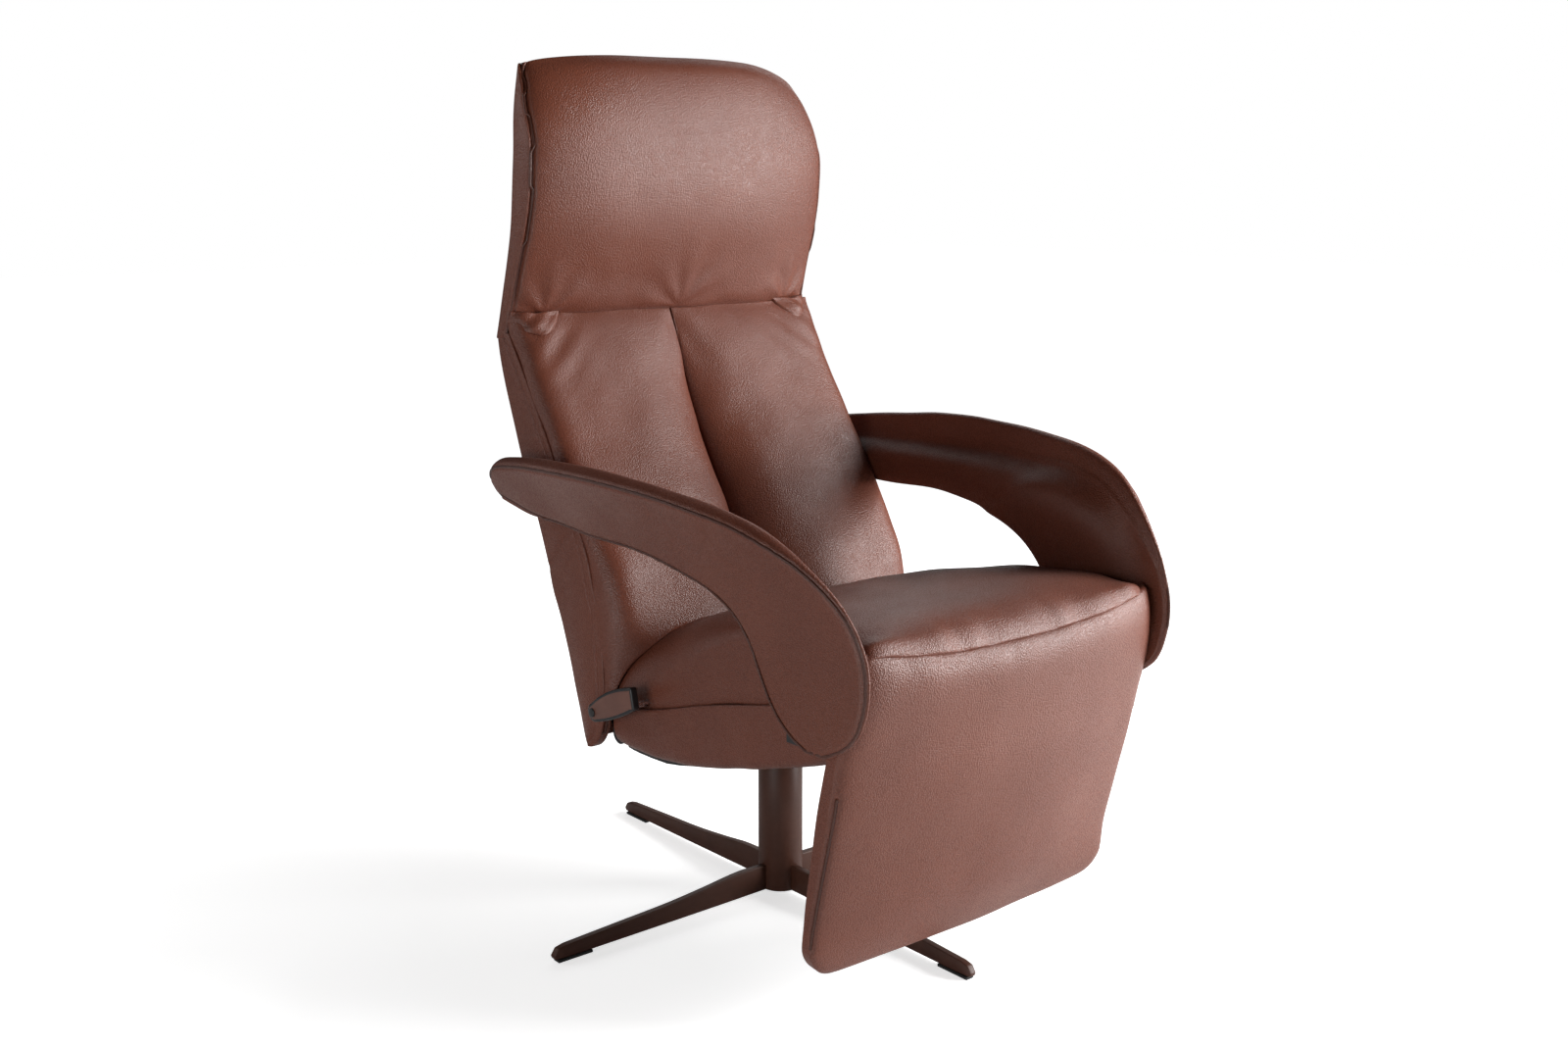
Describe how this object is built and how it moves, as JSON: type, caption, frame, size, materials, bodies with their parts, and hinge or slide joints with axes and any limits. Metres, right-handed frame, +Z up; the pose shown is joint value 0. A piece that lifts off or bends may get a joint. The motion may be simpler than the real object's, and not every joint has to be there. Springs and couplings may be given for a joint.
{
  "type": "recliner armchair",
  "caption": "Reclining swivel armchair in brown leather on a flat-arm star base, with a folding legrest, a tilting headrest, looped arms and a release lever.",
  "frame": {"origin": "on the floor, under the middle of the chair's box at rest; the swivel axis stands 37.5 mm behind it", "axes": "+Z up, the chair faces -Y, the sitter's left is +X"},
  "size_m": [0.736, 0.8129, 1.109],
  "materials": {
    "leather": "pebbled, semi-gloss aniline leather",
    "coated_steel": "fine-textured brown powder coat",
    "black_steel": "black e-coat",
    "bright_steel": "ground steel",
    "plywood": "raw beech plywood",
    "webbing": "woven elastic webbing",
    "rubber": "matte",
    "nylon": "natural",
    "black_plastic": "fine grain",
    "brown_plastic": "fine grain, coloured to match the leather"
  },
  "bodies": {
    "base": {"column_tube": "coated_steel", "lower_bush": "nylon", "upper_bush": "nylon", "thrust_ring": "bright_steel", "leg_left": "coated_steel", "leg_rear": "coated_steel", "leg_right": "coated_steel", "leg_front": "coated_steel", "foot_pad_left": "rubber", "foot_pad_rear": "rubber", "foot_pad_right": "rubber", "foot_pad_front": "rubber"},
    "seat": {"swivel_spindle": "black_steel", "cross_beam_front": "black_steel", "cross_beam_rear": "black_steel", "seat_rail_right": "black_steel", "seat_rail_left": "black_steel", "front_board": "plywood", "seat_web_1": "webbing", "seat_web_2": "webbing", "seat_web_3": "webbing", "gas_spring_tube": "black_steel", "seat_underside": "leather", "seat_side_right": "leather", "seat_side_left": "leather", "seat_cushion": "leather", "knee_roll": "leather", "arm_pad_right": "leather", "arm_pad_left": "leather", "arm_core_right": "plywood", "arm_core_left": "plywood"},
    "backrest": {"back_rail_right": "black_steel", "back_rail_left": "black_steel", "back_side_right": "leather", "back_side_left": "leather", "back_tube_lower": "black_steel", "back_tube_upper": "black_steel", "back_web_1": "webbing", "back_web_2": "webbing", "back_web_3": "webbing", "back_cushion_right": "leather", "back_cushion_left": "leather", "back_panel": "leather", "recline_lug": "black_steel"},
    "headrest": {"head_cushion": "leather", "head_board": "plywood", "head_panel": "leather", "head_side_right": "leather", "head_side_left": "leather", "head_arm_right": "black_steel", "head_arm_left": "black_steel"},
    "legrest": {"legrest_pad": "leather", "legrest_board": "plywood", "legrest_arm_right": "black_steel", "legrest_arm_left": "black_steel"},
    "gas_rod": {"gas_spring_rod": "bright_steel"},
    "lever": {"lever_body": "black_plastic", "lever_insert": "brown_plastic", "lever_shaft": "bright_steel"},
    "button": {"lever_button": "black_plastic"}
  },
  "joints": [
    {"name": "seat_swivel", "type": "hinge", "parent": "base", "child": "seat", "pos_m": [0, 0.0375, 0.238], "axis": [0, 0, 1], "continuous": true},
    {"name": "back_recline", "type": "hinge", "parent": "seat", "child": "backrest", "pos_m": [0, 0.0825, 0.258], "axis": [-1, 0, 0], "range_deg": [0, 32]},
    {"name": "head_tilt", "type": "hinge", "parent": "backrest", "child": "headrest", "pos_m": [0, 0.3025, 0.762], "axis": [-1, 0, 0], "range_deg": [-10, 28]},
    {"name": "legrest_lift", "type": "hinge", "parent": "seat", "child": "legrest", "pos_m": [0, -0.3665, 0.35], "axis": [-1, 0, 0], "range_deg": [0, 75]},
    {"name": "gas_spring_stroke", "type": "slide", "parent": "seat", "child": "gas_rod", "axis": [0, 1, 0], "range_m": [0, 0.0245]},
    {"name": "lever_pull", "type": "hinge", "parent": "seat", "child": "lever", "pos_m": [-0.262, 0.0095, 0.318], "axis": [1, 0, 0], "range_deg": [0, 18], "stiffness_Nm_per_rad": 1, "springref_deg": -11.46},
    {"name": "button_press", "type": "slide", "parent": "lever", "child": "button", "axis": [1, 0, 0], "range_m": [0, 0.0025], "stiffness_N_per_m": 400, "springref_m": -0.002}
  ],
  "couplings": [
    {"joint": "legrest_lift", "follows": "back_recline", "ratio": 2.34},
    {"joint": "gas_spring_stroke", "follows": "back_recline", "m_per_rad": 0.0431}
  ]
}
